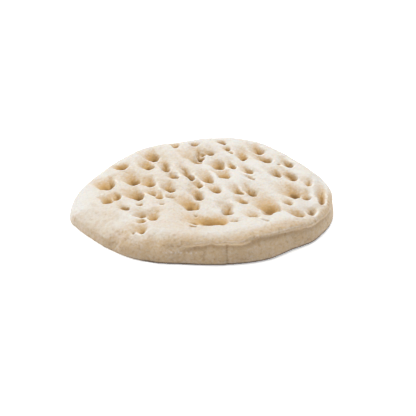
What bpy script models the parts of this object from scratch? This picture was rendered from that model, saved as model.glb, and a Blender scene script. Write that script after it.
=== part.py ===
"""Pizza dough: one soft oval piece, thickest at its front, pressed all over by fingertips.

Run it with: blender --background --python part.py
Lengths are in millimetres, with x to the right, y to the back and z up. The mesh is in metres.
The part rests on its flat base, and its origin is the middle of that base.
"""

import math

import bmesh
import bpy
import numpy as np

METRES = 0.001

# The widest line seen from above, anticlockwise from the left end, as (x, y).
OUTLINE = (
    (-125.5, -24.5), (-118.5, -37.5), (-105.0, -53.0), (-81.0, -75.0), (-49.5, -90.5),
    (-11.0, -94.5), (25.0, -94.5), (56.5, -88.0), (72.5, -79.5), (84.0, -71.5), (95.0, -65.5),
    (106.5, -56.5), (121.5, -33.0), (125.5, -7.0), (118.5, 17.5), (99.0, 45.0), (70.5, 76.0),
    (41.0, 92.0), (7.0, 93.0), (-21.0, 87.0), (-57.0, 78.0), (-77.0, 65.5), (-95.0, 48.0),
    (-116.5, 20.5), (-124.5, 0.0),
)

# These lists give one value every 30 degrees, anticlockwise from the right end.
EDGE_THICKNESS = (26.0, 27.5, 27.0, 26.5, 26.0, 23.0, 19.5, 21.0, 26.0, 28.5, 29.0, 27.5)
BAND_HEIGHT = (14.0, 12.0, 11.0, 9.5, 9.0, 8.0, 4.5, 3.0, 7.0, 17.5, 21.5, 16.5)
ROLL_WIDTH = (17.0, 17.0, 17.0, 16.0, 16.0, 24.0, 50.0, 46.0, 26.0, 17.0, 17.0, 18.0)
FOLD_DEPTH = (1.2, 0.2, 0.0, 0.0, 0.0, 0.0, 0.0, 0.0, 0.5, 2.6, 3.0, 2.6)

MIDDLE_THICKNESS = 25.0
RISE_FROM = 0.35            # from here to here, as shares of the way out from the middle, the
RISE_TO = 0.9               # thickness goes over into the edge's
ROLL_POWER = 2.0            # 2 makes the roll of the rim a parabola
ROLL_PLUMP = 0.55           # below 1 its foot is rounded, and 0.5 would make it an ellipse
BASE_ROUND = 1.8            # the radius under the edge
BASE_STEPS = (0.0, 0.3, 1.0)
FOLD_ABOVE = 2.2            # how far the fold between band and roll reaches up
FOLD_BELOW = 6.0            # and down, where it makes the band lean in
PRESS_START = 2.0           # presses begin this far in from the edge
PRESS_FULL = 12.0           # and have their whole depth from here on

# Soft upright dents in the side: (direction in degrees, half width in degrees, depth).
SIDE_DENTS = ((-138.0, 2.5, 2.0), (-118.0, 2.4, 1.6), (-99.0, 4.0, 0.9), (-76.0, 1.1, 1.7))
DENT_FOOT = 6.0             # they fade out below this height
DENT_FADE = 18.0            # and from here
DENT_TOP = 26.0             # to here

# Fingertip presses: (x, y, width, length, depth, lean), where x and y are the place of the lip at
# the front end. The lean turns the press's length from the line that runs from back to front, and
# is positive where its front end moves to the right.
BACK_PRESSES = (
    (-93.0, 1.0, 15.0, 22.0, 7.0, 8), (-86.0, 4.0, 7.5, 24.0, 9.0, 16),
    (-80.5, 33.0, 17.0, 12.0, 5.5, -4), (-47.0, 44.0, 12.0, 22.0, 10.0, 20),
    (-50.5, 29.5, 10.0, 19.0, 9.5, 22), (-34.0, 25.0, 8.0, 22.0, 10.5, 14),
    (-23.0, 11.5, 5.5, 18.0, 7.0, 42), (-27.5, 65.0, 9.0, 9.0, 4.5, 0),
    (-9.5, 70.0, 13.0, 8.0, 3.0, -10), (-1.0, 47.0, 8.0, 24.0, 9.5, 14),
    (-4.0, 39.0, 14.0, 24.0, 7.0, 22), (3.5, 54.5, 4.5, 13.0, 5.5, 50),
    (8.0, 53.5, 9.5, 9.0, 5.5, 10), (22.0, 71.0, 5.0, 9.0, 4.5, 38),
    (26.5, 60.5, 5.0, 9.0, 4.5, 30), (30.0, 55.0, 4.5, 12.0, 4.0, 50),
    (41.0, 43.0, 9.5, 17.0, 8.5, 8), (59.5, 53.0, 8.5, 23.0, 9.5, 28),
    (68.0, 38.0, 7.5, 28.0, 7.5, 52), (75.0, 33.0, 4.5, 10.0, 3.0, -10),
    (87.5, 29.5, 8.0, 22.0, 8.0, 34),
)
MIDDLE_PRESSES = (
    (-64.0, 4.0, 13.0, 25.0, 10.0, 22), (-48.5, -1.0, 12.5, 23.0, 10.0, 18),
    (-29.5, -10.5, 9.0, 21.0, 10.5, 16), (-9.0, 11.0, 6.5, 30.0, 10.5, 28),
    (7.0, 5.0, 9.5, 22.0, 9.5, 16), (18.0, 29.0, 12.0, 23.0, 9.5, 22),
    (31.5, 28.5, 6.0, 16.0, 6.0, 25), (21.5, 12.0, 11.5, 14.0, 7.0, 5),
    (48.5, 19.5, 6.5, 20.0, 7.5, 36), (51.0, 9.5, 4.0, 20.0, 3.5, 56),
    (75.0, 14.0, 9.0, 17.0, 8.0, 26), (90.5, 8.0, 8.5, 26.0, 8.0, 38),
    (102.0, -3.0, 8.0, 12.0, 5.0, 5),
    (-78.0, -18.5, 8.5, 16.0, 7.5, 30), (-89.0, -23.0, 10.0, 13.0, 7.5, 5),
    (-58.5, -21.5, 13.0, 21.0, 10.0, 26), (-47.5, -17.0, 10.0, 12.0, 3.5, 5),
    (-40.0, -23.0, 9.0, 13.0, 5.0, 8), (-31.0, -21.5, 12.0, 8.0, 3.0, -14),
    (-0.5, -2.5, 7.0, 14.0, 7.5, 28), (-2.0, -23.5, 8.0, 27.0, 11.0, 16),
    (13.0, -13.0, 9.0, 14.0, 7.5, 6), (37.5, -15.0, 8.0, 21.0, 8.0, 30),
    (49.5, -17.0, 8.0, 22.0, 9.5, 26), (41.5, -31.5, 7.5, 16.0, 6.0, 36),
    (90.0, -22.5, 15.0, 32.0, 8.5, 28), (98.5, -26.0, 8.0, 18.0, 8.5, 10),
    (80.5, -35.0, 9.0, 13.0, 4.5, 5),
)
FRONT_PRESSES = (
    (-68.0, -37.0, 5.0, 15.0, 6.0, 46), (-58.0, -32.0, 9.0, 6.0, 2.5, 15),
    (-38.0, -33.0, 10.0, 6.0, 2.0, 10), (-55.0, -51.0, 10.0, 16.0, 7.0, 20),
    (-52.5, -60.0, 7.0, 9.0, 4.5, 30), (-45.0, -57.0, 12.0, 15.0, 8.0, 0),
    (-54.0, -75.0, 13.0, 14.0, 4.0, 5), (-63.0, -73.0, 8.0, 10.0, 2.0, 0),
    (-11.0, -40.5, 15.0, 22.0, 7.0, 10), (-4.5, -39.5, 7.0, 12.0, 6.5, 10),
    (-4.0, -50.5, 4.0, 14.0, 3.0, 60), (-4.5, -71.5, 4.0, 18.0, 3.5, 58),
    (24.5, -49.0, 8.5, 22.0, 11.0, 6), (62.0, -48.0, 24.0, 40.0, 5.5, 8),
    (62.5, -51.5, 8.0, 20.0, 7.5, 12), (71.0, -45.5, 9.0, 18.0, 4.0, 14),
    (47.0, -57.0, 16.0, 14.0, 3.0, 8), (62.0, -62.0, 4.0, 20.0, 2.2, 76),
    (88.0, -55.0, 19.0, 17.0, 5.5, 2), (102.0, -50.0, 10.5, 20.0, 8.0, 16),
)
# Where several fingers met: the long hollow at the front and the one inside the right end.
TROUGHS = (
    (6.0, -69.5, 42.0, 25.0, 5.5, 0), (26.0, -62.5, 16.0, 12.0, 2.5, -34),
    (-3.0, -66.5, 6.0, 20.0, 4.5, 52), (111.5, -32.0, 8.5, 44.0, 7.0, -2),
)
PRESSES = BACK_PRESSES + MIDDLE_PRESSES + FRONT_PRESSES + TROUGHS

DEPTH_SHARE = 1.25          # how much deeper the presses go than the depths listed
CORE_SHARE = 0.5            # the share of the depth that only the narrow core has
CORE_SIZE = 0.24            # and the size of that core against the whole press, squared
WALL_SHARE = 0.3            # from the lip back to the deepest spot, as a share of the width
WALL_EXTRA = 0.8            # and this much more
WALL_HALF = 0.6             # half depth is reached this far along that wall
WALL_POWER = 2.4            # a power of 1 ends a slope in a point, 2 in a bowl, more in a flat floor
BACK_SHARE = 0.36           # from the deepest spot back to half depth, as a share of the length
BACK_POWER = 1.4
LEFT_SHARE = 0.44           # and to the left and to the right, as shares of the width
RIGHT_SHARE = 0.25
SIDE_POWER = 2.0
DEEPEST_ASIDE = 0.16        # how far the deepest spot lies to the right, as a share of the width
FLARE = 0.6                 # how much wider the left side gets over the length
FLARE_FROM = 0.3            # from this share of the length behind the lip
LIP_CURVE = 0.9             # how far the ends of the lip bend back
DIMPLE_SHARE = 0.3          # the wide soft dimple round each press, as a share of its depth
DIMPLE_REACH = 0.62         # its radius, as a share of the width and of the length
DIMPLE_BEHIND = 0.4         # how far its middle is behind the lip, as a share of the length
CREST_SHARE = 0.07          # the height of the crest before the lip, as a share of the depth
CREST_AHEAD = 1.2           # how far before the lip it stands
CREST_WIDTH = 1.4           # and how far it reaches from there
BLEND_POWER = 2.6           # how crisply presses that overlap meet

# Waves that push places aside, so that no press is a perfect oval: (direction, start), in radians.
WANDER_WAVES = ((0.4, 1.0), (1.9, 4.0), (2.8, 2.5), (1.1, 5.2))
WANDER_LENGTH = 19.0        # the longest of these waves
WANDER_FINER = 0.78         # each wave is this much shorter and lower than the one before
WANDER_REACH = 0.5          # how far the longest one pushes

COLUMNS = 300
BAND_ROWS = 7
ROLL_ROWS = 18
TOP_RINGS = 42
KEPT_FACES = 0.285          # the share of the faces that the finished mesh keeps

DOUGH_COLOUR = "E9E0D2"
DOUGH_ROUGHNESS = 0.85


def smooth_step(low, high, value):
    """0 below low, 1 above high and a smooth rise between them."""
    share = np.clip((value - low) / (high - low), 0.0, 1.0)
    return share * share * (3.0 - 2.0 * share)


def closed_spline(values, place):
    """A smooth closed curve through the values, read at a place counted in values."""
    values = np.asarray(values, dtype=float)
    step = np.floor(place).astype(int)
    part = place - step
    if values.ndim > 1:
        part = part[:, None]
    before, here, after, beyond = (values[(step + k) % len(values)] for k in (-1, 0, 1, 2))
    bend = 2.0 * before - 5.0 * here + 4.0 * after - beyond
    twist = 3.0 * (here - after) + beyond - before
    return here + 0.5 * part * (after - before + part * (bend + part * twist))


def around(values, angle):
    """One of the lists above, read in any direction."""
    return closed_spline(values, np.mod(angle, math.tau) / math.tau * len(values))


def reach(angle):
    """The distance from the middle to the outline in a direction."""
    line = closed_spline(OUTLINE, np.linspace(0.0, len(OUTLINE), 2400, endpoint=False))
    line_angle = np.arctan2(line[:, 1], line[:, 0])
    return np.interp(angle, line_angle, np.hypot(line[:, 0], line[:, 1]), period=math.tau)


def thickness(x, y):
    """The unpressed dough's thickness, from its middle out to its edge."""
    angle = np.arctan2(y, x)
    share = np.hypot(x, y) / reach(angle)
    rise = around(EDGE_THICKNESS, angle) - MIDDLE_THICKNESS
    return MIDDLE_THICKNESS + rise * smooth_step(RISE_FROM, RISE_TO, share)


def wander(x, y):
    """The places that a press's shape is read at, pushed aside a little."""
    shift_x, shift_y = np.zeros_like(x), np.zeros_like(y)
    for wave, (direction, start) in enumerate(WANDER_WAVES):
        size = WANDER_FINER ** wave
        along = x * math.cos(direction) + y * math.sin(direction)
        phase = math.tau * along / (WANDER_LENGTH * size) + start
        shift_x += WANDER_REACH * size * np.sin(phase)
        shift_y += WANDER_REACH * size * np.cos(phase + start)
    return x + shift_x, y + shift_y


def scoop(across, behind_lip, width, length):
    """How far each place is from the deepest spot: to the sides, behind it and on the wall before."""
    narrower = min(width, length)
    wide = max(width / length, 1.0)
    aside = across / width - DEEPEST_ASIDE
    behind_arc = behind_lip - LIP_CURVE * narrower / wide * aside ** 2
    wall = WALL_SHARE * narrower + WALL_EXTRA
    before = np.maximum(wall - behind_arc, 0.0) / (WALL_HALF * wall)
    behind = np.maximum(behind_arc - wall, 0.0) / (BACK_SHARE * length)
    flare = 1.0 + FLARE * (np.clip(behind_lip / length, 0.0, 1.0) - FLARE_FROM)
    left = np.maximum(-aside, 0.0) / (LEFT_SHARE * flare)
    right = np.maximum(aside, 0.0) / RIGHT_SHARE
    return (left + right) ** (SIDE_POWER * wide), behind ** BACK_POWER, before ** WALL_POWER


def press_depth(x, y):
    """How far the presses push each point of the top down."""
    x, y = wander(x, y)
    scoops, dimples, crests = np.zeros_like(x), np.zeros_like(x), np.zeros_like(x)
    for lip_x, lip_y, width, length, depth, lean in PRESSES:
        turn = math.radians(lean)
        across = (x - lip_x) * math.cos(turn) + (y - lip_y) * math.sin(turn)
        behind_lip = (y - lip_y) * math.cos(turn) - (x - lip_x) * math.sin(turn)
        sides, behind, before = scoop(across, behind_lip, width, length)
        whole = np.exp2(-sides - behind - before)
        core = np.exp2(-(sides + behind) / CORE_SIZE - before)
        share = (1.0 - CORE_SHARE) * whole + CORE_SHARE * core
        scoops += (DEPTH_SHARE * depth * share) ** BLEND_POWER
        away = np.hypot(across / width, behind_lip / length - DIMPLE_BEHIND) / DIMPLE_REACH
        dimples = np.hypot(dimples, DIMPLE_SHARE * depth * np.exp(-0.5 * away ** 2))
        ahead = (behind_lip + CREST_AHEAD) / CREST_WIDTH
        crests = np.maximum(crests, CREST_SHARE * depth * np.exp2(-sides) * np.exp(-ahead ** 2))
    return scoops ** (1.0 / BLEND_POWER) + dimples - crests


def side_dent(angle):
    """How far the side's soft upright dents reach in."""
    total = np.zeros_like(angle)
    for direction, half_width, depth in SIDE_DENTS:
        away = np.angle(np.exp(1j * (angle - math.radians(direction))))
        total += depth * np.exp(-0.5 * (away / math.radians(half_width)) ** 2)
    return total


def risen_height(x, y):
    """The height of the unpressed top: the roll climbs from the band to the full thickness."""
    angle = np.arctan2(y, x)
    inwards = np.clip((reach(angle) - np.hypot(x, y)) / around(ROLL_WIDTH, angle), 0.0, 1.0)
    band = around(BAND_HEIGHT, angle)
    rise = (1.0 - (1.0 - inwards) ** ROLL_POWER) ** ROLL_PLUMP
    return band + (thickness(x, y) - band) * rise


def pressed_height(x, y):
    """The height of the finished top."""
    inset = reach(np.arctan2(y, x)) - np.hypot(x, y)
    return risen_height(x, y) - press_depth(x, y) * smooth_step(PRESS_START, PRESS_FULL, inset)


def side_row(angle, inset, height):
    """One row of points on the side, pulled in by the fold over the band and by the dents."""
    above_band = height - around(BAND_HEIGHT, angle)
    spread = np.where(above_band > 0.0, FOLD_ABOVE, FOLD_BELOW)
    fold = around(FOLD_DEPTH, angle) * np.exp(-0.5 * (above_band / spread) ** 2)
    dent = side_dent(angle) * smooth_step(0.0, DENT_FOOT, height)
    radius = reach(angle) - inset - fold - dent * (1.0 - smooth_step(DENT_FADE, DENT_TOP, height))
    return np.stack([radius * np.cos(angle), radius * np.sin(angle), height], axis=1)


def body_rows():
    """All rows of points, from the edge of the base up the side and in over the top."""
    angle = np.linspace(0.0, math.tau, COLUMNS, endpoint=False)
    outer = reach(angle)
    band = around(BAND_HEIGHT, angle)
    roll = around(ROLL_WIDTH, angle)
    rows = []
    for share in BASE_STEPS:
        inset = BASE_ROUND * (1.0 - share) ** 2
        rows.append(side_row(angle, inset, np.full_like(angle, BASE_ROUND * share ** 2)))
    for row in range(1, BAND_ROWS):
        rows.append(side_row(angle, 0.0, BASE_ROUND + (band - BASE_ROUND) * row / BAND_ROWS))
    for row in range(ROLL_ROWS + 1):
        inset = roll * row / ROLL_ROWS
        radius = outer - inset
        height = pressed_height(radius * np.cos(angle), radius * np.sin(angle))
        rows.append(side_row(angle, inset, height))
    for ring in range(1, TOP_RINGS):
        radius = (outer - roll) * (1.0 - ring / TOP_RINGS)
        x, y = radius * np.cos(angle), radius * np.sin(angle)
        rows.append(np.stack([x, y, pressed_height(x, y)], axis=1))
    return rows


def skin(mesh, rows):
    """Joins the rows into one closed body, with a flat base and a point in the middle of the top."""
    rings = [[mesh.verts.new(point * METRES) for point in row] for row in rows]
    for lower, upper in zip(rings, rings[1:]):
        for column in range(COLUMNS):
            beside = (column + 1) % COLUMNS
            mesh.faces.new((lower[column], lower[beside], upper[beside], upper[column]))
    middle = pressed_height(np.zeros(1), np.zeros(1))[0]
    centre = mesh.verts.new((0.0, 0.0, middle * METRES))
    for column in range(COLUMNS):
        mesh.faces.new((rings[-1][column], rings[-1][(column + 1) % COLUMNS], centre))
    mesh.faces.new(reversed(rings[0]))


def linear_colour(code):
    """A hex colour as the linear values that a shader takes."""
    parts = [int(code[k:k + 2], 16) / 255.0 for k in (0, 2, 4)]
    return [p / 12.92 if p <= 0.04045 else ((p + 0.055) / 1.055) ** 2.4 for p in parts] + [1.0]


def dough_material():
    """Pale raw dough, dull with flour."""
    material = bpy.data.materials.new("dough")
    material.use_nodes = True
    shader = material.node_tree.nodes["Principled BSDF"]
    shader.inputs["Base Color"].default_value = linear_colour(DOUGH_COLOUR)
    shader.inputs["Roughness"].default_value = DOUGH_ROUGHNESS
    shader.inputs["Metallic"].default_value = 0.0
    return material


def make_dough():
    """The whole part as one object."""
    body = bmesh.new()
    skin(body, body_rows())
    data = bpy.data.meshes.new("dough")
    body.to_mesh(data)
    body.free()
    data.shade_smooth()
    data.materials.append(dough_material())
    dough = bpy.data.objects.new("dough", data)
    bpy.context.scene.collection.objects.link(dough)
    lighter = dough.modifiers.new("lighter mesh", "DECIMATE")
    lighter.ratio = KEPT_FACES
    return dough


def clear_scene():
    """Removes whatever the scene holds."""
    for leftover in list(bpy.data.objects):
        bpy.data.objects.remove(leftover, do_unlink=True)


def main():
    clear_scene()
    make_dough()


if __name__ == "__main__":
    main()
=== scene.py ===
"""Pizza dough: one floured oval of raw dough, pressed by fingertips, on a pale studio floor.

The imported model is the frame. The dough here replaces its plain solid and keeps that solid's form.
The dough's form, its skin and its flour are worked out in millimetres. The properties that a user
can change, the floor, the light and the camera are in metres.
"""

import math

import bpy
import numpy as np
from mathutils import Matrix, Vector


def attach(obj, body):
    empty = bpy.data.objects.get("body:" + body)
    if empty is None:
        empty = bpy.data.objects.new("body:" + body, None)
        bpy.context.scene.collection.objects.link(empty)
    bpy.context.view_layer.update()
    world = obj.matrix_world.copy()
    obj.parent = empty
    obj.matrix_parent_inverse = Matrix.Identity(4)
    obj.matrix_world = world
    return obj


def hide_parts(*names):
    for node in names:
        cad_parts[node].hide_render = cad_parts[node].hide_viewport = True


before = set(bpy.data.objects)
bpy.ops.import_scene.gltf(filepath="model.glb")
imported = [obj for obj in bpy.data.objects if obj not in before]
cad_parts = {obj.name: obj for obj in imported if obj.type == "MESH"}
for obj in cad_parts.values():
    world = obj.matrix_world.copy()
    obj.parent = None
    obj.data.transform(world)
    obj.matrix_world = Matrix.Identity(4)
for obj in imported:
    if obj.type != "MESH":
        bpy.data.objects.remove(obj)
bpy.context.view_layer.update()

bl_info = {
    "name": "Pizza dough",
    "version": (1, 0, 0),
    "blender": (4, 5, 0),
    "location": "3D View > Sidebar > Dough",
    "description": "Models a floured oval of raw pizza dough and sets the studio round it",
    "category": "Add Mesh",
}

METRES = 0.001              # in a millimetre

# The widest line seen from above, anticlockwise from the left end, as (x, y).
OUTLINE = (
    (-125.5, -24.5), (-118.5, -37.5), (-105.0, -53.0), (-81.0, -75.0), (-49.5, -90.5),
    (-11.0, -94.5), (25.0, -94.5), (56.5, -88.0), (72.5, -79.5), (84.0, -71.5), (95.0, -65.5),
    (106.5, -56.5), (121.5, -33.0), (125.5, -7.0), (118.5, 17.5), (99.0, 45.0), (70.5, 76.0),
    (41.0, 92.0), (7.0, 93.0), (-21.0, 87.0), (-57.0, 78.0), (-77.0, 65.5), (-95.0, 48.0),
    (-116.5, 20.5), (-124.5, 0.0),
)

# These lists give one value every 30 degrees, anticlockwise from the right end.
EDGE_THICKNESS = (26.0, 27.5, 27.0, 26.5, 26.0, 23.0, 19.5, 21.0, 26.0, 28.5, 29.0, 27.5)
BAND_HEIGHT = (14.0, 12.0, 11.0, 9.5, 9.0, 8.0, 4.5, 3.0, 7.0, 17.5, 21.5, 16.5)
ROLL_WIDTH = (17.0, 17.0, 17.0, 16.0, 16.0, 24.0, 50.0, 46.0, 26.0, 17.0, 17.0, 18.0)
FOLD_DEPTH = (1.2, 0.2, 0.0, 0.0, 0.0, 0.0, 0.0, 0.0, 0.5, 2.6, 3.0, 2.6)

MIDDLE_THICKNESS = 25.0
RISE_FROM = 0.35            # from here to here, as shares of the way out from the middle, the
RISE_TO = 0.9               # thickness goes over into the edge's
ROLL_POWER = 2.0            # 2 makes the roll of the rim a parabola
ROLL_PLUMP = 0.55           # below 1 its foot is rounded, and 0.5 would make it an ellipse
BASE_ROUND = 1.8            # the radius under the edge
BASE_STEPS = (0.0, 0.3, 1.0)
OUTLINE_STEPS = 2400        # how finely the outline's curve is read
FOLD_ABOVE = 2.2            # how far the fold between band and roll reaches up
FOLD_BELOW = 6.0            # and down, where it makes the band lean in
PRESS_START = 2.0           # presses begin this far in from the edge
PRESS_FULL = 12.0           # and have their whole depth from here on

# Soft upright dents in the side: (direction in degrees, half width in degrees, depth).
SIDE_DENTS = ((-138.0, 2.5, 2.0), (-118.0, 2.4, 1.6), (-99.0, 4.0, 0.9), (-76.0, 1.1, 1.7))
DENT_FOOT = 6.0             # they fade out below this height
DENT_FADE = 18.0            # and from here
DENT_TOP = 26.0             # to here

# Fingertip presses: (x, y, width, length, depth, lean), where x and y are the place of the lip at
# the front end. The lean turns the press's length from the line that runs from back to front, and
# is positive where its front end moves to the right.
BACK_PRESSES = (
    (-93.0, 1.0, 15.0, 22.0, 7.0, 8), (-86.0, 4.0, 7.5, 24.0, 9.0, 16),
    (-80.5, 33.0, 17.0, 12.0, 5.5, -4), (-47.0, 44.0, 12.0, 22.0, 10.0, 20),
    (-50.5, 29.5, 10.0, 19.0, 9.5, 22), (-34.0, 25.0, 8.0, 22.0, 10.5, 14),
    (-23.0, 11.5, 5.5, 18.0, 7.0, 42), (-27.5, 65.0, 9.0, 9.0, 4.5, 0),
    (-9.5, 70.0, 13.0, 8.0, 3.0, -10), (-1.0, 47.0, 8.0, 24.0, 9.5, 14),
    (-4.0, 39.0, 14.0, 24.0, 7.0, 22), (3.5, 54.5, 4.5, 13.0, 5.5, 50),
    (8.0, 53.5, 9.5, 9.0, 5.5, 10), (22.0, 71.0, 5.0, 9.0, 4.5, 38),
    (26.5, 60.5, 5.0, 9.0, 4.5, 30), (30.0, 55.0, 4.5, 12.0, 4.0, 50),
    (41.0, 43.0, 9.5, 17.0, 8.5, 8), (59.5, 53.0, 8.5, 23.0, 9.5, 28),
    (68.0, 38.0, 7.5, 28.0, 7.5, 52), (75.0, 33.0, 4.5, 10.0, 3.0, -10),
    (87.5, 29.5, 8.0, 22.0, 8.0, 34),
)
MIDDLE_PRESSES = (
    (-64.0, 4.0, 13.0, 25.0, 10.0, 22), (-48.5, -1.0, 12.5, 23.0, 10.0, 18),
    (-29.5, -10.5, 9.0, 21.0, 10.5, 16), (-9.0, 11.0, 6.5, 30.0, 10.5, 28),
    (7.0, 5.0, 9.5, 22.0, 9.5, 16), (18.0, 29.0, 12.0, 23.0, 9.5, 22),
    (31.5, 28.5, 6.0, 16.0, 6.0, 25), (21.5, 12.0, 11.5, 14.0, 7.0, 5),
    (48.5, 19.5, 6.5, 20.0, 7.5, 36), (51.0, 9.5, 4.0, 20.0, 3.5, 56),
    (75.0, 14.0, 9.0, 17.0, 8.0, 26), (90.5, 8.0, 8.5, 26.0, 8.0, 38),
    (102.0, -3.0, 8.0, 12.0, 5.0, 5),
    (-78.0, -18.5, 8.5, 16.0, 7.5, 30), (-89.0, -23.0, 10.0, 13.0, 7.5, 5),
    (-58.5, -21.5, 13.0, 21.0, 10.0, 26), (-47.5, -17.0, 10.0, 12.0, 3.5, 5),
    (-40.0, -23.0, 9.0, 13.0, 5.0, 8), (-31.0, -21.5, 12.0, 8.0, 3.0, -14),
    (-0.5, -2.5, 7.0, 14.0, 7.5, 28), (-2.0, -23.5, 8.0, 27.0, 11.0, 16),
    (13.0, -13.0, 9.0, 14.0, 7.5, 6), (37.5, -15.0, 8.0, 21.0, 8.0, 30),
    (49.5, -17.0, 8.0, 22.0, 9.5, 26), (41.5, -31.5, 7.5, 16.0, 6.0, 36),
    (90.0, -22.5, 15.0, 32.0, 8.5, 28), (98.5, -26.0, 8.0, 18.0, 8.5, 10),
    (80.5, -35.0, 9.0, 13.0, 4.5, 5),
)
FRONT_PRESSES = (
    (-68.0, -37.0, 5.0, 15.0, 6.0, 46), (-58.0, -32.0, 9.0, 6.0, 2.5, 15),
    (-38.0, -33.0, 10.0, 6.0, 2.0, 10), (-55.0, -51.0, 10.0, 16.0, 7.0, 20),
    (-52.5, -60.0, 7.0, 9.0, 4.5, 30), (-45.0, -57.0, 12.0, 15.0, 8.0, 0),
    (-54.0, -75.0, 13.0, 14.0, 4.0, 5), (-63.0, -73.0, 8.0, 10.0, 2.0, 0),
    (-11.0, -40.5, 15.0, 22.0, 7.0, 10), (-4.5, -39.5, 7.0, 12.0, 6.5, 10),
    (-4.0, -50.5, 4.0, 14.0, 3.0, 60), (-4.5, -71.5, 4.0, 18.0, 3.5, 58),
    (24.5, -49.0, 8.5, 22.0, 11.0, 6), (62.0, -48.0, 24.0, 40.0, 5.5, 8),
    (62.5, -51.5, 8.0, 20.0, 7.5, 12), (71.0, -45.5, 9.0, 18.0, 4.0, 14),
    (47.0, -57.0, 16.0, 14.0, 3.0, 8), (62.0, -62.0, 4.0, 20.0, 2.2, 76),
    (88.0, -55.0, 19.0, 17.0, 5.5, 2), (102.0, -50.0, 10.5, 20.0, 8.0, 16),
)
# Where several fingers met: the long hollow at the front and the one inside the right end.
TROUGHS = (
    (6.0, -69.5, 42.0, 25.0, 5.5, 0), (26.0, -62.5, 16.0, 12.0, 2.5, -34),
    (-3.0, -66.5, 6.0, 20.0, 4.5, 52), (111.5, -32.0, 8.5, 44.0, 7.0, -2),
)
PRESSES = BACK_PRESSES + MIDDLE_PRESSES + FRONT_PRESSES + TROUGHS

DEPTH_SHARE = 1.25          # how much deeper the presses go than the depths listed
CORE_SHARE = 0.5            # the share of the depth that only the narrow core has
CORE_SIZE = 0.24            # and the size of that core against the whole press, squared
WALL_SHARE = 0.3            # from the lip back to the deepest spot, as a share of the width
WALL_EXTRA = 0.8            # and this much more
WALL_HALF = 0.6             # half depth is reached this far along that wall
WALL_POWER = 2.4            # a power of 1 ends a slope in a point, 2 in a bowl, more in a flat floor
BACK_SHARE = 0.36           # from the deepest spot back to half depth, as a share of the length
BACK_POWER = 1.4
LEFT_SHARE = 0.44           # and to the left and to the right, as shares of the width
RIGHT_SHARE = 0.25
SIDE_POWER = 2.0
DEEPEST_ASIDE = 0.16        # how far the deepest spot lies to the right, as a share of the width
FLARE = 0.6                 # how much wider the left side gets over the length
FLARE_FROM = 0.3            # from this share of the length behind the lip
LIP_CURVE = 0.9             # how far the ends of the lip bend back
DIMPLE_SHARE = 0.3          # the wide soft dimple round each press, as a share of its depth
DIMPLE_REACH = 0.62         # its radius, as a share of the width and of the length
DIMPLE_BEHIND = 0.4         # how far its middle is behind the lip, as a share of the length
CREST_SHARE = 0.07          # the height of the crest before the lip, as a share of the depth
CREST_AHEAD = 1.2           # how far before the lip it stands
CREST_WIDTH = 1.4           # and how far it reaches from there
BLEND_POWER = 2.6           # how crisply presses that overlap meet

# Waves that push places aside, so that no press is a perfect oval: (direction, start), in radians.
WANDER_WAVES = ((0.4, 1.0), (1.9, 4.0), (2.8, 2.5), (1.1, 5.2))
WANDER_LENGTH = 19.0        # the longest of these waves
WANDER_FINER = 0.78         # each wave is this much shorter and lower than the one before
WANDER_REACH = 0.5          # how far the longest one pushes

# Small folds in the front side, as (x, height) at their two ends, half width and depth.
FRONT_FOLDS = (
    (-61.0, 21.0, -71.5, 12.5, 1.4, 0.9), (-57.0, 22.0, -64.0, 16.0, 1.2, 0.6),
    (-30.0, 18.0, 4.0, 18.5, 3.2, 1.1), (-28.0, 18.2, -25.5, 18.2, 0.8, 0.9),
    (-41.5, 20.5, -41.0, 19.0, 0.8, 0.8), (39.0, 24.0, 47.0, 25.5, 1.0, 0.7),
)
# How far the fold between band and roll runs above or below the band, as (x, rise).
FOLD_LINE = (
    (-20.0, 0.0), (3.0, 0.8), (9.0, 2.2), (14.0, 0.2), (24.0, -0.8), (37.0, -2.4), (53.0, 1.8),
    (78.0, 1.2), (105.0, 0.0),
)
# Crumbs of flour that cling to the front side, as (x, height, radius).
CRUMBS = (
    (-27.0, 13.0, 0.8), (-23.5, 12.4, 0.9), (-20.5, 13.1, 0.7), (-18.5, 12.3, 1.0),
    (-13.0, 12.6, 0.7), (-9.5, 12.2, 0.9), (-5.0, 12.8, 0.6), (-31.5, 12.5, 0.6),
)

# Soft patches where the flour lies thinner, or below 0 thicker, as (x, y, radius, change).
FLOUR_PATCHES = (
    (-12.0, -77.0, 22.0, 0.26), (-68.5, -70.0, 11.0, 0.3), (-93.0, -42.0, 14.0, 0.12),
    (-92.0, 18.0, 9.0, 0.25), (47.5, 62.0, 13.0, 0.28), (82.5, -8.5, 14.0, 0.36),
    (46.5, -45.0, 9.0, 0.3), (95.0, -59.0, 16.0, -0.4), (105.0, -38.0, 10.0, -0.4),
    (0.5, 50.0, 12.0, -0.45), (-60.5, -42.0, 11.0, -0.4),
)

# The blank that is modelled before the presses go in.
START_RADIUS = 0.1          # of the circle that it starts as, in metres
COLUMNS = 240
BAND_ROWS = 6
ROLL_ROWS = 14
TOP_RINGS = 10

# Pairs such as these give where something starts and where it is whole, or where it has ended.
ON_TOP = (0.2, 0.8)         # where the top begins, as shares of the height of the band
END_OF_SIDE = (8.0, 16.0)   # how far in from the edge the side's folds and dents end

BASE_FLAT = 0.35            # what is lower than this is pressed flat by the dough's own weight
BASE_RING = 4.0             # the width of the ring of faces along the edge of the base
SKIN_FROM = 1.5             # from this height on the skin has all its waves and lumps
SKIN_GROUP = "skin"
WAVE_SIZE = 24.0            # the soft waves in the skin
LUMP_SIZE = 5.0             # and its small lumps
BEND_BLUR = 3               # rounds of blurring when the skin's bend is measured

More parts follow.
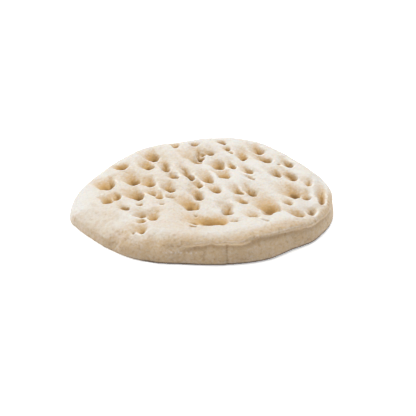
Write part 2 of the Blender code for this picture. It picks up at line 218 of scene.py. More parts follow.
# Where presses have rubbed the flour off.
RUB_DEPTH = 6.0             # a press this deep has no flour left in it
RUB_ASIDE = 0.62            # how fast the flour comes back beside it
RUB_BEHIND = 0.62           # and behind it, where below 1 is slower than the depth
RUB_INSET = (0.0, 6.0)      # it begins this far in from the edge of the dough
RUB_DULLER = 0.2            # how much weaker it gets to the right
DULL_ALONG_X = (20.0, 90.0)  # between these places
DARK_DEPTH = 9.0            # a press this deep gets the full painted shade at its deepest spot

# How bare the dough is elsewhere, from 0 under a full dusting of flour to 1.
BARE_TILT = 1.2             # for a side that stands upright and faces the front or the back
RIGHT_TILT = 0.32           # the share of that where it faces right, and to the left there is none
BARE_MOST = 0.9             # the most that a side without a press is bare
BACK_FLOUR = 0.8            # the share of its flour that a slope which faces back has kept
FACING_BACK = (0.0, 0.4)    # what counts as such a slope, by its normal's part that points back
BACK_UPWARDS = (-0.4, 0.35)  # and by the part that points up
WORN_RIM = 0.6              # how bare the front of the rim is on the right
WORN_ALONG_X = (5.0, 60.0)  # it begins between these places from left to right
WORN_FORWARD = (0.0, 20.0)  # and these before the middle
WORN_INSET = (10.5, 21.0)   # and ends this far in from the edge
THIN_FLOUR = 0.22           # how bare the left of the top is
THIN_INSET = (10.0, 35.0)   # it begins this far in from the edge
THIN_ALONG_X = (-30.0, 40.0)  # and ends between these places
PATCH_UPWARDS = (0.2, 0.6)  # patches lie on slopes whose normal points up this much
BARE_BASE = 0.35            # how bare the underside is
FACING_DOWN = (0.6, 0.9)    # what counts as the underside, by its normal's part that points down

# Painted shade in folds, grooves, low on the front side and along the foot, and painted highlights on
# crests, with crumbs of flour.
FULL_CREASE = 3.2           # a fold in the side this deep gets quite dark painted shade
CREASE_ABOVE = 1.0          # how far that reaches up from the fold
CREASE_BELOW = 2.6          # and down
CREASE_INSET = 8.0          # and in from the edge
DENT_TONE = 0.35            # the share of their depth that the side's dents count for
CLEAR_BEND = (0.025, 0.075)  # how sharply the skin bends where a groove gets painted shade or a crest a painted highlight
LIP_UPWARDS = (0.3, 0.8)    # crests get a painted highlight where their normal points up this much
LOW_SHADE = 0.4             # how dark the painted shade on the lower part of the front side is, against a sharp groove
LOW_FOOT_SHADE = 0.11             # and how much painted foot shadow it gets, against the line along the foot
LOW_FACING = (0.3, 0.9)     # where that is, by the part of its normal that points to the front
LOW_HEIGHT = (4.0, 20.0)    # and by its height
LOW_FAINTER = 0.6           # how much weaker it gets to the right
LOW_ALONG_X = (30.0, 90.0)  # between these places
FOOT_HEIGHT = (1.23, 3.7)   # the painted shadow line along the foot fades out over these heights
FOOT_INSET = (3.0, 5.0)     # and under the dough
FOOT_LEAST = 0.35           # how dark that line is where the band is low
FOOT_BAND = (3.0, 9.0)      # between these heights of the band it gets as dark as it can

# What paint_dough stores on the mesh, each from 0 to 1: rubbed-off flour, painted shade at a press's
# deepest spot, bareness, a painted shadow along the foot, painted shade in grooves, folds and low on the
# front, and painted highlights on lips with the crumbs.
PAINTED = ("press", "depth_shade", "slope", "foot_shadow", "groove", "crest")

# Sizes of the patterns in the flour. Real flour is finer, and it is drawn as coarse as it shows.
FLOUR_PATCH = 12.0          # clouds of thicker and thinner flour
FLOUR_GRAIN = 2.2           # clumps of flour
MOTTLE = 3.4                # damp spots on bare dough
GRAIN_HEIGHT = 0.5          # how far the grain stands out
PATTERNS = ((FLOUR_PATCH, 3.0), (FLOUR_GRAIN, 2.0), (MOTTLE, 3.0))     # with the detail of each

CLOUD_TONE = 0.4            # how much the clouds change the flour
CLUMP_TONE = 0.5            # how much its clumps change it where it lies thick
CLUMP_BARE = 0.5            # and how much more they do on bare dough
RUBBED_UNEVEN = 0.5         # the share of both that is left in a press
HOLLOW_SHOWS = (0.06, 0.8)  # how far the flour is rubbed off where the hollow's colour shows
DEEPEST_SHOWS = (0.3, 0.95)  # how deep a press is where the painted shade of its deepest spot shows
SPOTS_SHOW = (0.5, 0.75)    # which values of the mottled pattern make a damp spot
SPOT_BARE = 0.36            # how dark such a spot is on bare dough
SPOT_FLOUR = 0.03           # and under flour
HIGHLIGHT_AND_CRUMB_TONE = 0.65           # how white the painted highlight on a crest, and a crumb of flour, gets
GROOVE_SHADE_TONE = 0.5           # and how dark the painted shade in a groove gets

# The finishes, as the shader's own values.
DOUGH_FINISH = {
    "Roughness": 0.85, "IOR": 1.4, "Sheen Weight": 0.15, "Sheen Roughness": 0.6,
    "Subsurface Weight": 0.25, "Subsurface Radius": (1.0, 0.6, 0.3), "Subsurface Scale": 2.0 * METRES,
}
FLOOR_FINISH = {
    "Roughness": 0.9, "Specular IOR Level": 0.1,
    "Emission Color": (1.0, 1.0, 1.0, 1.0), "Emission Strength": 0.42,
}

# The studio, in metres but for the camera's lens and the width of its sensor.
FLOOR_CLOUDS = 4.0          # this many in a metre
FLOOR_SIZE = 8.0
KEY_PLACE = (-0.18, 0.3, 1.4)
KEY_SIZE = (4.4, 0.9)
CAMERA_AIM = (0.0057, -0.0148, 0.0075)
CAMERA_LENS = 100.0
SENSOR_WIDTH = 36.0


def linear(code):
    """An sRGB hex colour as the linear values that Blender works with."""
    parts = [int(code[k:k + 2], 16) / 255.0 for k in (0, 2, 4)]
    return [p / 12.92 if p <= 0.04045 else ((p + 0.055) / 1.055) ** 2.4 for p in parts]


def smooth_step(low, high, value):
    """0 below low, 1 above high and a smooth rise between them."""
    share = np.clip((value - low) / (high - low), 0.0, 1.0)
    return share * share * (3.0 - 2.0 * share)


def closed_spline(values, place):
    """A smooth closed curve through the values, read at a place counted in values."""
    values = np.asarray(values, dtype=float)
    step = np.floor(place).astype(int)
    part = place - step
    if values.ndim > 1:
        part = part[:, None]
    before, here, after, beyond = (values[(step + k) % len(values)] for k in (-1, 0, 1, 2))
    bend = 2.0 * before - 5.0 * here + 4.0 * after - beyond
    twist = 3.0 * (here - after) + beyond - before
    return here + 0.5 * part * (after - before + part * (bend + part * twist))


def around(values, angle):
    """One of the lists above, read in any direction."""
    return closed_spline(values, np.mod(angle, math.tau) / math.tau * len(values))


def reach(angle):
    """The distance from the middle to the outline in a direction."""
    line = closed_spline(OUTLINE, np.linspace(0.0, len(OUTLINE), OUTLINE_STEPS, endpoint=False))
    line_angle = np.arctan2(line[:, 1], line[:, 0])
    return np.interp(angle, line_angle, np.hypot(line[:, 0], line[:, 1]), period=math.tau)


def thickness(x, y):
    """The unpressed dough's thickness, from its middle out to its edge."""
    angle = np.arctan2(y, x)
    share = np.hypot(x, y) / reach(angle)
    rise = around(EDGE_THICKNESS, angle) - MIDDLE_THICKNESS
    return MIDDLE_THICKNESS + rise * smooth_step(RISE_FROM, RISE_TO, share)


def wander(x, y):
    """The places that a press's shape is read at, pushed aside a little."""
    shift_x, shift_y = np.zeros_like(x), np.zeros_like(y)
    for wave, (direction, start) in enumerate(WANDER_WAVES):
        size = WANDER_FINER ** wave
        along = x * math.cos(direction) + y * math.sin(direction)
        phase = math.tau * along / (WANDER_LENGTH * size) + start
        shift_x += WANDER_REACH * size * np.sin(phase)
        shift_y += WANDER_REACH * size * np.cos(phase + start)
    return x + shift_x, y + shift_y


def scoop(across, behind_lip, width, length):
    """How far each place is from the deepest spot: to the sides, behind it and on the wall before."""
    narrower = min(width, length)
    wide = max(width / length, 1.0)
    aside = across / width - DEEPEST_ASIDE
    behind_arc = behind_lip - LIP_CURVE * narrower / wide * aside ** 2
    wall = WALL_SHARE * narrower + WALL_EXTRA
    before = np.maximum(wall - behind_arc, 0.0) / (WALL_HALF * wall)
    behind = np.maximum(behind_arc - wall, 0.0) / (BACK_SHARE * length)
    flare = 1.0 + FLARE * (np.clip(behind_lip / length, 0.0, 1.0) - FLARE_FROM)
    left = np.maximum(-aside, 0.0) / (LEFT_SHARE * flare)
    right = np.maximum(aside, 0.0) / RIGHT_SHARE
    return (left + right) ** (SIDE_POWER * wide), behind ** BACK_POWER, before ** WALL_POWER


def place_in(press, x, y):
    """Where points are as seen from a press: across it and behind its lip."""
    turn = math.radians(press[5])
    right, back = x - press[0], y - press[1]
    across = right * math.cos(turn) + back * math.sin(turn)
    return across, back * math.cos(turn) - right * math.sin(turn)


def press_parts(x, y):
    """The depth of the scoops, that of the soft dimples round them and the height of their crests."""
    x, y = wander(x, y)
    scoops, dimples, crests = np.zeros_like(x), np.zeros_like(x), np.zeros_like(x)
    for press in PRESSES:
        width, length, depth = press[2:5]
        across, behind_lip = place_in(press, x, y)
        sides, behind, before = scoop(across, behind_lip, width, length)
        whole = np.exp2(-sides - behind - before)
        core = np.exp2(-(sides + behind) / CORE_SIZE - before)
        share = (1.0 - CORE_SHARE) * whole + CORE_SHARE * core
        scoops += (DEPTH_SHARE * depth * share) ** BLEND_POWER
        away = np.hypot(across / width, behind_lip / length - DIMPLE_BEHIND) / DIMPLE_REACH
        dimples = np.hypot(dimples, DIMPLE_SHARE * depth * np.exp(-0.5 * away ** 2))
        ahead = (behind_lip + CREST_AHEAD) / CREST_WIDTH
        crests = np.maximum(crests, CREST_SHARE * depth * np.exp2(-sides) * np.exp(-ahead ** 2))
    return scoops ** (1.0 / BLEND_POWER), dimples, crests


def press_depth(x, y):
    """How far the presses push each point of the top down."""
    scoops, dimples, crests = press_parts(x, y)
    return scoops + dimples - crests


def rubbed_off(x, y):
    """How much of their flour the presses have rubbed off, from 0 to 1."""
    x, y = wander(x, y)
    most = np.zeros_like(x)
    for press in PRESSES:
        width, length, depth = press[2:5]
        sides, behind, before = scoop(*place_in(press, x, y), width, length)
        behind *= RUB_BEHIND * max(width / length, 1.0)
        share = np.exp2(-RUB_ASIDE * sides - behind - before)
        most = np.maximum(most, min(depth / RUB_DEPTH, 1.0) * share)
    return most * (1.0 - RUB_DULLER * smooth_step(*DULL_ALONG_X, x))


def side_dent(angle):
    """How far the side's soft upright dents reach in."""
    total = np.zeros_like(angle)
    for direction, half_width, depth in SIDE_DENTS:
        away = np.angle(np.exp(1j * (angle - math.radians(direction))))
        total += depth * np.exp(-0.5 * (away / math.radians(half_width)) ** 2)
    return total


def front_folds(x, y, height):
    """How far the small folds of the front side reach in."""
    total = np.zeros_like(x)
    for start_x, start_height, end_x, end_height, half_width, depth in FRONT_FOLDS:
        run, climb = end_x - start_x, end_height - start_height
        share = (x - start_x) * run + (height - start_height) * climb
        share = np.clip(share / (run ** 2 + climb ** 2), 0.0, 1.0)
        away = np.hypot(x - start_x - share * run, height - start_height - share * climb)
        total += depth * np.exp(-((away / half_width) ** 2))
    return np.where(y < 0.0, total, 0.0)


def fold_line(x, y):
    """The height of the fold between band and roll."""
    places, rises = np.array(FOLD_LINE).T
    rise = np.where(y < 0.0, np.interp(x, places, rises), 0.0)
    return around(BAND_HEIGHT, np.arctan2(y, x)) + rise


def fold_depth(x, y, height, above, below):
    """How far that fold reaches in, where it fades over these heights above and below itself."""
    above_fold = height - fold_line(x, y)
    spread = np.where(above_fold > 0.0, above, below)
    return around(FOLD_DEPTH, np.arctan2(y, x)) * np.exp(-0.5 * (above_fold / spread) ** 2)


def crumbs(x, y, height):
    """Where crumbs of flour cling to the front side."""
    total = np.zeros_like(x)
    for crumb_x, crumb_height, radius in CRUMBS:
        away = np.hypot(x - crumb_x, height - crumb_height)
        total += np.exp(-((away / radius) ** 2))
    return np.where(y < 0.0, total, 0.0)


def flour_patches(x, y):
    """How much thinner the flour is in the soft patches."""
    total = np.zeros_like(x)
    for patch_x, patch_y, radius, change in FLOUR_PATCHES:
        away = np.hypot(x - patch_x, y - patch_y)
        total += change * np.exp(-((away / radius) ** 2))
    return total


def risen_height(x, y):
    """The height of the unpressed top: the roll climbs from the band to the full thickness."""
    angle = np.arctan2(y, x)
    inwards = np.clip((reach(angle) - np.hypot(x, y)) / around(ROLL_WIDTH, angle), 0.0, 1.0)
    band = around(BAND_HEIGHT, angle)
    rise = (1.0 - (1.0 - inwards) ** ROLL_POWER) ** ROLL_PLUMP
    return band + (thickness(x, y) - band) * rise


def row_of_points(angle, inset, height=None):
    """One row, this far in from the outline, at the height given or else on the risen top."""
    radius = reach(angle) - inset
    x, y = radius * np.cos(angle), radius * np.sin(angle)
    if height is None:
        height = risen_height(x, y)
    return np.stack([x, y, np.broadcast_to(height, x.shape)], axis=1)


def blank_rows():
    """The rows of the unpressed blank, from the edge of its base up the side and in over the top."""
    angle = np.linspace(0.0, math.tau, COLUMNS, endpoint=False)
    band = around(BAND_HEIGHT, angle)
    roll = around(ROLL_WIDTH, angle)
    inner = reach(angle) - roll
    rows = []
    for share in BASE_STEPS:
        rows.append(row_of_points(angle, BASE_ROUND * (1.0 - share) ** 2, BASE_ROUND * share ** 2))
    for row in range(1, BAND_ROWS):
        rows.append(row_of_points(angle, 0.0, BASE_ROUND + (band - BASE_ROUND) * row / BAND_ROWS))
    for row in range(ROLL_ROWS + 1):
        rows.append(row_of_points(angle, roll * row / ROLL_ROWS))
    for ring in range(1, TOP_RINGS):
        rows.append(row_of_points(angle, roll + inner * ring / TOP_RINGS))
    return rows


def points_of(mesh):
    """The mesh's vertices in millimetres."""
    flat = np.empty(len(mesh.vertices) * 3)
    mesh.vertices.foreach_get("co", flat)
    return flat.reshape(-1, 3) / METRES


def set_points(mesh, points):
    """Moves the mesh's vertices to points in millimetres."""
    mesh.vertices.foreach_set("co", (points * METRES).ravel())
    mesh.update()


def start_alone():
    """Leaves edit mode and deselects everything."""
    if bpy.context.mode != "OBJECT":
        bpy.ops.object.mode_set(mode="OBJECT")
    bpy.ops.object.select_all(action="DESELECT")


def model_blank():
    """The risen, unpressed dough: an oval whose edge is extruded up the side and in over the top."""
    rows = blank_rows()
    start_alone()
    bpy.ops.mesh.primitive_circle_add(vertices=COLUMNS, radius=START_RADIUS, fill_type="NGON")
    dough = bpy.context.object
    dough.name = dough.data.name = "floured_dough"
    set_points(dough.data, rows[0])
    for row in rows[1:]:
        bpy.ops.object.mode_set(mode="EDIT")
        bpy.ops.mesh.extrude_region_move()
        bpy.ops.object.mode_set(mode="OBJECT")
        placed = points_of(dough.data)
        placed[-COLUMNS:] = row
        set_points(dough.data, placed)
    return dough


def apply_modifier(piece, kind, **settings):
    """Adds a modifier with its settings and applies it."""
    modifier = piece.modifiers.new(kind.lower(), kind)
    for name, value in settings.items():
        setattr(modifier, name, value)
    bpy.context.view_layer.objects.active = piece
    piece.select_set(True)
    bpy.ops.object.modifier_apply(modifier=modifier.name)


def cloud_texture(name, size, octaves):
    """A procedural cloud whose lumps have that size in millimetres."""
    texture = bpy.data.textures.new(name, "CLOUDS")
    texture.noise_scale = size * METRES
    texture.noise_depth = octaves
    return texture


def press_dough(piece, press_share):
    """Presses the fingertips into the blank and draws in the folds and the dents of its side."""
    x, y, height = points_of(piece.data).T
    angle = np.arctan2(y, x)
    radius = np.hypot(x, y)
    inset = reach(angle) - radius
    on_top = smooth_step(*ON_TOP, height / around(BAND_HEIGHT, angle))
    on_top *= smooth_step(PRESS_START, PRESS_FULL, inset)
    pressed = height - press_share * press_depth(x, y) * on_top
    fold = fold_depth(x, y, pressed, FOLD_ABOVE, FOLD_BELOW) + front_folds(x, y, pressed)
    dent = side_dent(angle) * smooth_step(0.0, DENT_FOOT, pressed)
    dent *= 1.0 - smooth_step(DENT_FADE, DENT_TOP, pressed)
    drawn_in = (fold + dent) * (1.0 - smooth_step(*END_OF_SIDE, inset))
    kept = (radius - drawn_in) / np.maximum(radius, 1.0)
    set_points(piece.data, np.stack([x * kept, y * kept, pressed], axis=1))


def mark_skin(piece):
    """Marks the part of the mesh that gets waves and lumps: all of it but its flat base."""
    skin = piece.vertex_groups.new(name=SKIN_GROUP)
    shares = smooth_step(0.0, SKIN_FROM, points_of(piece.data)[:, 2])
    for index, share in enumerate(shares):
        skin.add([index], share, "REPLACE")


def flatten_base(piece):
    """Lays the base flat, as a ring of faces along its edge and one large face inside it."""
    points = points_of(piece.data)
    low = points[:, 2] < BASE_FLAT
    points[low, 2] = 0.0
    set_points(piece.data, points)
    start_alone()
    bpy.context.view_layer.objects.active = piece
    piece.select_set(True)
    for face in piece.data.polygons:
        face.select = all(low[corner] for corner in face.vertices)
    bpy.ops.object.mode_set(mode="EDIT")
    bpy.ops.mesh.select_mode(type="FACE")
    bpy.ops.mesh.delete(type="FACE")
    bpy.ops.mesh.select_mode(type="VERT")
    bpy.ops.mesh.select_non_manifold()
    bpy.ops.object.mode_set(mode="OBJECT")
    first_new = len(piece.data.vertices)
    bpy.ops.object.mode_set(mode="EDIT")
    bpy.ops.mesh.extrude_region_move()
    bpy.ops.object.mode_set(mode="OBJECT")
    points = points_of(piece.data)
    edge = points[first_new:, :2]
    radius = np.hypot(*edge.T)[:, None]
    points[first_new:, :2] = edge * (radius - BASE_RING) / radius
    set_points(piece.data, points)
    bpy.ops.object.mode_set(mode="EDIT")
    bpy.ops.mesh.edge_face_add()
    bpy.ops.mesh.select_all(action="SELECT")
    bpy.ops.mesh.normals_make_consistent(inside=False)
    bpy.ops.object.mode_set(mode="OBJECT")


def normals_of(mesh):
    """The mesh's vertex normals."""
    flat = np.empty(len(mesh.vertices) * 3)
    mesh.vertex_normals.foreach_get("vector", flat)
    return flat.reshape(-1, 3)


def paint(piece, name, values):
    """Stores one value for each vertex, for the material to read."""
    layer = piece.data.attributes.new(name, "FLOAT", "POINT")
    layer.data.foreach_set("value", np.asarray(values, dtype=float))


def bend_of(mesh):
    """How sharply the skin bends at each vertex: above 0 in a groove and below 0 on a crest."""
    places, normals = points_of(mesh), normals_of(mesh)
    corners = np.empty(len(mesh.edges) * 2, dtype=int)
    mesh.edges.foreach_get("vertices", corners)
    one, other = corners.reshape(-1, 2).T
    along = places[other] - places[one]
    along /= np.linalg.norm(along, axis=1, keepdims=True)
    edges = np.bincount(corners)
    bend = np.bincount(one, np.sum(along * normals[one], axis=1), len(places))
    bend -= np.bincount(other, np.sum(along * normals[other], axis=1), len(places))
    bend /= edges
    for _ in range(BEND_BLUR):
        beside = np.bincount(one, bend[other], len(places))
        beside += np.bincount(other, bend[one], len(places))
        bend = 0.5 * (bend + beside / edges)
    return bend


def bareness(x, y, inset, normals, patches):
    """How bare the dough is outside its presses."""
    right, back, up = normals.T
    kept = BACK_FLOUR * smooth_step(*FACING_BACK, back) * smooth_step(*BACK_UPWARDS, up)
    tilt = BARE_TILT * np.hypot(RIGHT_TILT * np.maximum(right, 0.0), back) * (1.0 - kept)
    worn = WORN_RIM * smooth_step(*WORN_ALONG_X, x) * smooth_step(*WORN_FORWARD, -y)
    worn *= 1.0 - smooth_step(*WORN_INSET, inset)
    thin = THIN_FLOUR * smooth_step(*THIN_INSET, inset) * (1.0 - smooth_step(*THIN_ALONG_X, x))
    bare = np.clip(tilt + worn + thin + patches, 0.0, BARE_MOST)
    return bare + (BARE_BASE - bare) * smooth_step(*FACING_DOWN, -up)


def crease_shade(x, y, height, inset):
    """How dark the painted shade in the folds and the dents of the side is."""
    dent = side_dent(np.arctan2(y, x)) * smooth_step(0.0, DENT_FOOT, height)
    depth = np.hypot(fold_depth(x, y, height, CREASE_ABOVE, CREASE_BELOW), DENT_TONE * dent)
    depth = np.hypot(depth, front_folds(x, y, height))
    return np.where(inset < CREASE_INSET, depth / FULL_CREASE, 0.0)


def painted_low_shade(x, height, back):
    """Painted shade that darkens the lower part of the front side, less to the right."""
    low = smooth_step(*LOW_FACING, -back) * (1.0 - smooth_step(*LOW_HEIGHT, height))
    return low * (1.0 - LOW_FAINTER * smooth_step(*LOW_ALONG_X, x))


def painted_foot_shadow(x, y, height, inset):
    """A painted shadow line along the edge of the underside, fainter where the dough is thin."""
    band = around(BAND_HEIGHT, np.arctan2(y, x))
    shadow_strength = FOOT_LEAST + (1.0 - FOOT_LEAST) * smooth_step(*FOOT_BAND, band)
    shadow_strength *= 1.0 - smooth_step(*FOOT_HEIGHT, height)
    return shadow_strength * (1.0 - smooth_step(*FOOT_INSET, inset))


def paint_dough(piece):
    """Stores where the dough is pressed and how bare it is, the painted shade in its presses, folds, low
    front and along the edge of its underside, and the painted highlights on its lips with its crumbs of
    flour.
    """
    x, y, height = points_of(piece.data).T
    normals = normals_of(piece.data)
    back, up = normals[:, 1], normals[:, 2]
    bend = bend_of(piece.data)
    inset = reach(np.arctan2(y, x)) - np.hypot(x, y)
    patches = flour_patches(x, y) * smooth_step(*PATCH_UPWARDS, up)
    pressed = smooth_step(*RUB_INSET, inset) * (1.0 - smooth_step(*FACING_DOWN, -up))
    pressed *= 1.0 + np.minimum(patches, 0.0)
    low = painted_low_shade(x, height, back)
    # Painted shade in grooves and folds, and low on the front side.
    groove_shade = np.maximum(smooth_step(*CLEAR_BEND, bend), crease_shade(x, y, height, inset))
    # A painted highlight on the lips of the presses, where the skin bends over a crest.
    lips = smooth_step(*CLEAR_BEND, -bend) * smooth_step(*LIP_UPWARDS, up)
    paint(piece, "press", rubbed_off(x, y) * pressed)
    # Painted shade at the deepest spot of each press.
    paint(piece, "depth_shade", press_parts(x, y)[0] * pressed / DARK_DEPTH)
    paint(piece, "slope", bareness(x, y, inset, normals, patches))
    # A painted shadow along the foot, with some of the painted shade low on the front side.
    paint(piece, "foot_shadow", np.maximum(painted_foot_shadow(x, y, height, inset), LOW_FOOT_SHADE * low))
    paint(piece, "groove", np.maximum(groove_shade, LOW_SHADE * low))
    paint(piece, "crest", np.maximum(lips, crumbs(x, y, height)))


def add_node(tree, kind, output, settings=None, values=None, links=None):
    """Adds a node, sets its options and its sockets, links what feeds it and gives its output."""
    node = tree.nodes.new(kind)
    for name, value in (settings or {}).items():
        setattr(node, name, value)
    for socket, value in (values or {}).items():
        node.inputs[socket].default_value = value
    for socket, source in (links or {}).items():
        tree.links.new(source, node.inputs[socket])
    return node.outputs[output]


def finished_material(name, finish):
    """A new material with that finish, and with it its node tree and its shader."""
    material = bpy.data.materials.new(name)
    material.use_nodes = True
    shader = material.node_tree.nodes["Principled BSDF"]
    for socket, value in finish.items():
        shader.inputs[socket].default_value = value
    return material, material.node_tree, shader


def floured_dough_material(colours):
    """Raw wheat dough, hand-pressed and dusted with flour.

    To the eye it is soft, dull and slightly see-through, with no gloss: cream where flour lies, tan
    where fingers or the side have lost it. Painted shade browns the bottom of each press, its folds,
    its lower front and the edge of its underside, and painted highlights whiten the lips of its presses.
    """
    material, tree, shader = finished_material("floured_dough", DOUGH_FINISH)
    place = add_node(tree, "ShaderNodeTexCoord", "Object")
    press, depth_shade, slope, foot_shadow, groove, crest = (
        add_node(tree, "ShaderNodeAttribute", "Fac", {"attribute_name": name}) for name in PAINTED
    )
    patch, grain, mottle = (
        add_node(tree, "ShaderNodeTexNoise", "Fac", None,
                 {"Scale": 1.0 / (size * METRES), "Detail": detail}, {"Vector": place})
        for size, detail in PATTERNS
    )

    # Each of these is one value times another, plus a third.
    multiply_add = {"operation": "MULTIPLY_ADD"}
    cloud = add_node(tree, "ShaderNodeMath", 0, multiply_add,
                     {1: CLOUD_TONE, 2: -0.5 * CLOUD_TONE}, {0: patch})
    clump = add_node(tree, "ShaderNodeMath", 0, multiply_add, {1: 1.0, 2: -0.5}, {0: grain})
    clump_tone = add_node(tree, "ShaderNodeMath", 0, multiply_add,
                          {1: CLUMP_BARE, 2: CLUMP_TONE}, {0: slope})
    uneven = add_node(tree, "ShaderNodeMath", 0, multiply_add, None,
                      {0: clump, 1: clump_tone, 2: cloud})
    rubbed = add_node(tree, "ShaderNodeMath", 0, multiply_add, {1: RUBBED_UNEVEN},
                      {0: uneven, 2: press})
    spot_tone = add_node(tree, "ShaderNodeMath", 0, multiply_add,
                         {1: SPOT_BARE, 2: SPOT_FLOUR}, {0: slope})
    bumps = add_node(tree, "ShaderNodeMath", 0, multiply_add, None,
                     {0: mottle, 1: slope, 2: grain})

    # The hollow's tan where flour is rubbed off, painted shade at a press's deepest spot, and the damp
    # spots.
    hollow, deepest, spots = (
        add_node(tree, "ShaderNodeMapRange", "Result", {"interpolation_type": "SMOOTHSTEP"},
                 {"From Min": shows[0], "From Max": shows[1]}, {"Value": value})
        for value, shows in ((rubbed, HOLLOW_SHOWS), (depth_shade, DEEPEST_SHOWS), (mottle, SPOTS_SHOW))
    )
    multiply = {"operation": "MULTIPLY"}
    dark_spots = add_node(tree, "ShaderNodeMath", 0, multiply, None, {0: spots, 1: spot_tone})
    # A painted highlight on the lips, together with the crumbs of flour.
    lips = add_node(tree, "ShaderNodeMath", 0, multiply, {1: HIGHLIGHT_AND_CRUMB_TONE}, {0: crest})
    # Painted shade in grooves, folds and low on the front side.
    folds = add_node(tree, "ShaderNodeMath", 0, multiply, {1: GROOVE_SHADE_TONE}, {0: groove})
    worn = add_node(tree, "ShaderNodeMath", 0, {"operation": "ADD"}, None, {0: slope, 1: uneven})

    mix = {"data_type": "RGBA"}
    ends = {"A": (*colours.flour, 1.0), "B": (*colours.dough, 1.0)}
    colour = add_node(tree, "ShaderNodeMix", "Result", mix, ends, {"Factor": worn})
    # Over the flour and the dough in turn: painted highlights on lips with the crumbs, the hollow's tan,
    # painted shade at the deepest spots, damp spots, painted shade in folds, and a painted shadow along
    # the foot.
    layers = (
        (colours.crest, lips), (colours.hollow, hollow), (colours.shadow, deepest),
        (colours.shadow, dark_spots), (colours.shadow, folds), (colours.foot_shadow, foot_shadow),
    )
    for over, share in layers:
        links = {"A": colour, "Factor": share}
        colour = add_node(tree, "ShaderNodeMix", "Result", mix, {"B": (*over, 1.0)}, links)
    tree.links.new(colour, shader.inputs["Base Color"])

    heights = {"Strength": 1.0, "Distance": GRAIN_HEIGHT * METRES}
    normal = add_node(tree, "ShaderNodeBump", "Normal", None, heights, {"Height": bumps})
    tree.links.new(normal, shader.inputs["Normal"])
    return material


def floor_material(colours):
    """Matt white acrylic sheet, lit a little from below, which keeps the shadow on it pale."""
    material, tree, shader = finished_material("matt_acrylic", FLOOR_FINISH)
    place = add_node(tree, "ShaderNodeTexCoord", "Object")
    cloud = add_node(tree, "ShaderNodeTexNoise", "Fac", None, {"Scale": FLOOR_CLOUDS}, {"Vector": place})
    ends = {"A": (*colours.floor_shade, 1.0), "B": (*colours.floor, 1.0)}
    colour = add_node(tree, "ShaderNodeMix", "Result", {"data_type": "RGBA"}, ends, {"Factor": cloud})
    tree.links.new(colour, shader.inputs["Base Color"])
    return material


class DoughSizes(bpy.types.PropertyGroup):
    """Sizes of the dough."""

    press_share: bpy.props.FloatProperty(
        name="Press depth", description="Depth of the presses, as a share of the solid's",
        default=1.0, min=0.0, max=1.2, subtype="FACTOR")
    mesh_size: bpy.props.FloatProperty(
        name="Mesh size", description="Side of one face of the finished mesh",
        default=0.00088, min=0.0005, max=0.005, unit="LENGTH", subtype="DISTANCE")
    unevenness: bpy.props.FloatProperty(
        name="Unevenness", description="Height of the soft waves in the skin",
        default=0.0012, min=0.0, max=0.004, unit="LENGTH", subtype="DISTANCE")
    lumps: bpy.props.FloatProperty(
        name="Lumps", description="Height of the small lumps in the skin",
        default=0.0006, min=0.0, max=0.002, unit="LENGTH", subtype="DISTANCE")


class DoughColours(bpy.types.PropertyGroup):
    """Colours of the dough and of the floor."""

    flour: bpy.props.FloatVectorProperty(
        name="Flour", description="Dough under its dusting of flour",
        default=linear("D0CDC7"), min=0.0, max=1.0, subtype="COLOR")
    dough: bpy.props.FloatVectorProperty(
        name="Dough", description="Dough with little flour on it",
        default=linear("C1A886"), min=0.0, max=1.0, subtype="COLOR")
    # A painted highlight on the lips of the presses, and the colour of the crumbs of flour.
    crest: bpy.props.FloatVectorProperty(
        name="Crests", description="Flour that has caught along the edges of the presses",
        default=linear("E2DFD8"), min=0.0, max=1.0, subtype="COLOR")
    hollow: bpy.props.FloatVectorProperty(
        name="Hollow", description="Bare moist dough at the bottom of a press",
        default=linear("B9945B"), min=0.0, max=1.0, subtype="COLOR")
    # Painted shade at the deepest spot of a press and in the folds; the damp spots take it as their
    # darker tone too.
    shadow: bpy.props.FloatVectorProperty(
        name="Deepest", description="Dough at the deepest spot of a press, behind its lip",
        default=linear("7E5A26"), min=0.0, max=1.0, subtype="COLOR")
    # A painted shadow along the edge of the underside.
    foot_shadow: bpy.props.FloatVectorProperty(
        name="Foot", description="Damp dough along the edge of the underside",
        default=linear("3C2A1A"), min=0.0, max=1.0, subtype="COLOR")
    floor: bpy.props.FloatVectorProperty(
        name="Floor", description="The pale surface that the dough lies on",
        default=linear("FFFFFF"), min=0.0, max=1.0, subtype="COLOR")
    floor_shade: bpy.props.FloatVectorProperty(
        name="Floor shade", description="The slightly darker clouds in that surface",
        default=linear("FAFAFA"), min=0.0, max=1.0, subtype="COLOR")


class StudioSettings(bpy.types.PropertyGroup):
    """The camera and the lights."""

    distance: bpy.props.FloatProperty(
        name="Camera distance", description="From the camera to what it looks at",
        default=1.1, min=0.3, max=5.0, unit="LENGTH", subtype="DISTANCE")
    elevation: bpy.props.FloatProperty(
        name="Camera elevation", description="How far the camera looks down",
        default=math.radians(35.0), min=0.0, max=math.radians(90.0), unit="ROTATION", subtype="ANGLE")
    key_power: bpy.props.FloatProperty(
        name="Soft box", description="Power of the large light above and behind",
        default=41.0, min=0.0, max=500.0, unit="POWER")
    fill: bpy.props.FloatProperty(
        name="Fill", description="Strength of the light from all round",
        default=0.34, min=0.0, max=3.0)


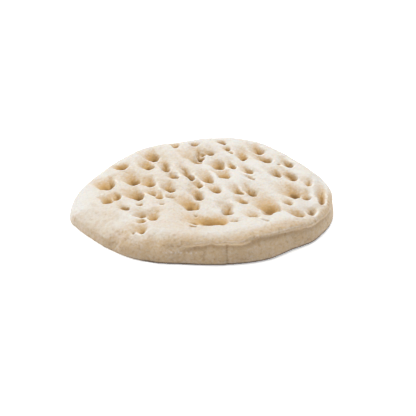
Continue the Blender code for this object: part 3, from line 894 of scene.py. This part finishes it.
class DOUGH_OT_model_dough(bpy.types.Operator):
    """Model the floured dough over its plain solid"""

    bl_idname = "dough.model_dough"
    bl_label = "Model dough"
    bl_options = {"REGISTER", "UNDO"}

    def execute(self, context):
        sizes, colours = context.scene.dough_sizes, context.scene.dough_colours
        dough = model_blank()
        apply_modifier(dough, "REMESH", mode="VOXEL", voxel_size=sizes.mesh_size)
        press_dough(dough, sizes.press_share)
        apply_modifier(dough, "REMESH", mode="VOXEL", voxel_size=sizes.mesh_size)
        apply_modifier(dough, "SMOOTH", factor=0.5, iterations=1)
        mark_skin(dough)
        for name, size, octaves, strength in (
            ("waves", WAVE_SIZE, 1, sizes.unevenness), ("lumps", LUMP_SIZE, 2, sizes.lumps),
        ):
            apply_modifier(dough, "DISPLACE", texture=cloud_texture(name, size, octaves),
                           texture_coords="LOCAL", strength=strength, mid_level=0.5,
                           vertex_group=SKIN_GROUP)
        dough.vertex_groups.clear()
        flatten_base(dough)
        dough.data.shade_smooth()
        paint_dough(dough)
        dough.data.materials.clear()
        dough.data.materials.append(floured_dough_material(colours))
        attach(dough, "root")
        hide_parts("dough")
        return {"FINISHED"}


class DOUGH_OT_set_studio(bpy.types.Operator):
    """Set the floor, the soft lights and the camera"""

    bl_idname = "dough.set_studio"
    bl_label = "Set studio"
    bl_options = {"REGISTER", "UNDO"}

    def execute(self, context):
        studio, colours = context.scene.dough_studio, context.scene.dough_colours
        start_alone()
        bpy.ops.mesh.primitive_plane_add(size=FLOOR_SIZE)
        floor = context.object
        floor.name = floor.data.name = "floor"
        floor.data.materials.append(floor_material(colours))

        bpy.ops.object.light_add(type="AREA", location=KEY_PLACE)
        key = context.object
        key.name = "soft_box"
        key.data.energy = studio.key_power
        key.data.shape = "ELLIPSE"
        key.data.size, key.data.size_y = KEY_SIZE
        key.rotation_euler = Vector(KEY_PLACE).to_track_quat("Z", "Y").to_euler()

        world = bpy.data.worlds.new("white_room")
        context.scene.world = world
        world.use_nodes = True
        background = world.node_tree.nodes["Background"]
        background.inputs["Color"].default_value = (1.0, 1.0, 1.0, 1.0)
        background.inputs["Strength"].default_value = studio.fill

        away = Vector((0.0, -math.cos(studio.elevation), math.sin(studio.elevation)))
        bpy.ops.object.camera_add(location=Vector(CAMERA_AIM) + studio.distance * away)
        camera = context.object
        camera.rotation_euler = away.to_track_quat("Z", "Y").to_euler()
        camera.data.lens = CAMERA_LENS
        camera.data.sensor_width = SENSOR_WIDTH
        context.scene.camera = camera
        context.scene.view_settings.view_transform = "Standard"
        return {"FINISHED"}


class DOUGH_PT_panel(bpy.types.Panel):
    """Lists the steps and their settings"""

    bl_idname = "DOUGH_PT_panel"
    bl_label = "Pizza dough"
    bl_space_type = "VIEW_3D"
    bl_region_type = "UI"
    bl_category = "Dough"

    def draw(self, context):
        for settings in (context.scene.dough_sizes, context.scene.dough_colours):
            for name in settings.__annotations__:
                self.layout.prop(settings, name)
        self.layout.operator(DOUGH_OT_model_dough.bl_idname)
        for name in StudioSettings.__annotations__:
            self.layout.prop(context.scene.dough_studio, name)
        self.layout.operator(DOUGH_OT_set_studio.bl_idname)


CLASSES = (
    DoughSizes, DoughColours, StudioSettings,
    DOUGH_OT_model_dough, DOUGH_OT_set_studio, DOUGH_PT_panel,
)


def register():
    """Adds the classes, and their settings to each scene."""
    for item in CLASSES:
        bpy.utils.register_class(item)
    bpy.types.Scene.dough_sizes = bpy.props.PointerProperty(type=DoughSizes)
    bpy.types.Scene.dough_colours = bpy.props.PointerProperty(type=DoughColours)
    bpy.types.Scene.dough_studio = bpy.props.PointerProperty(type=StudioSettings)


def unregister():
    """Takes them all away again."""
    del bpy.types.Scene.dough_studio
    del bpy.types.Scene.dough_colours
    del bpy.types.Scene.dough_sizes
    for item in reversed(CLASSES):
        bpy.utils.unregister_class(item)


def main():
    """Registers the add-on, models the dough and sets its studio."""
    register()
    bpy.ops.dough.model_dough()
    bpy.ops.dough.set_studio()


if __name__ == "__main__":
    main()
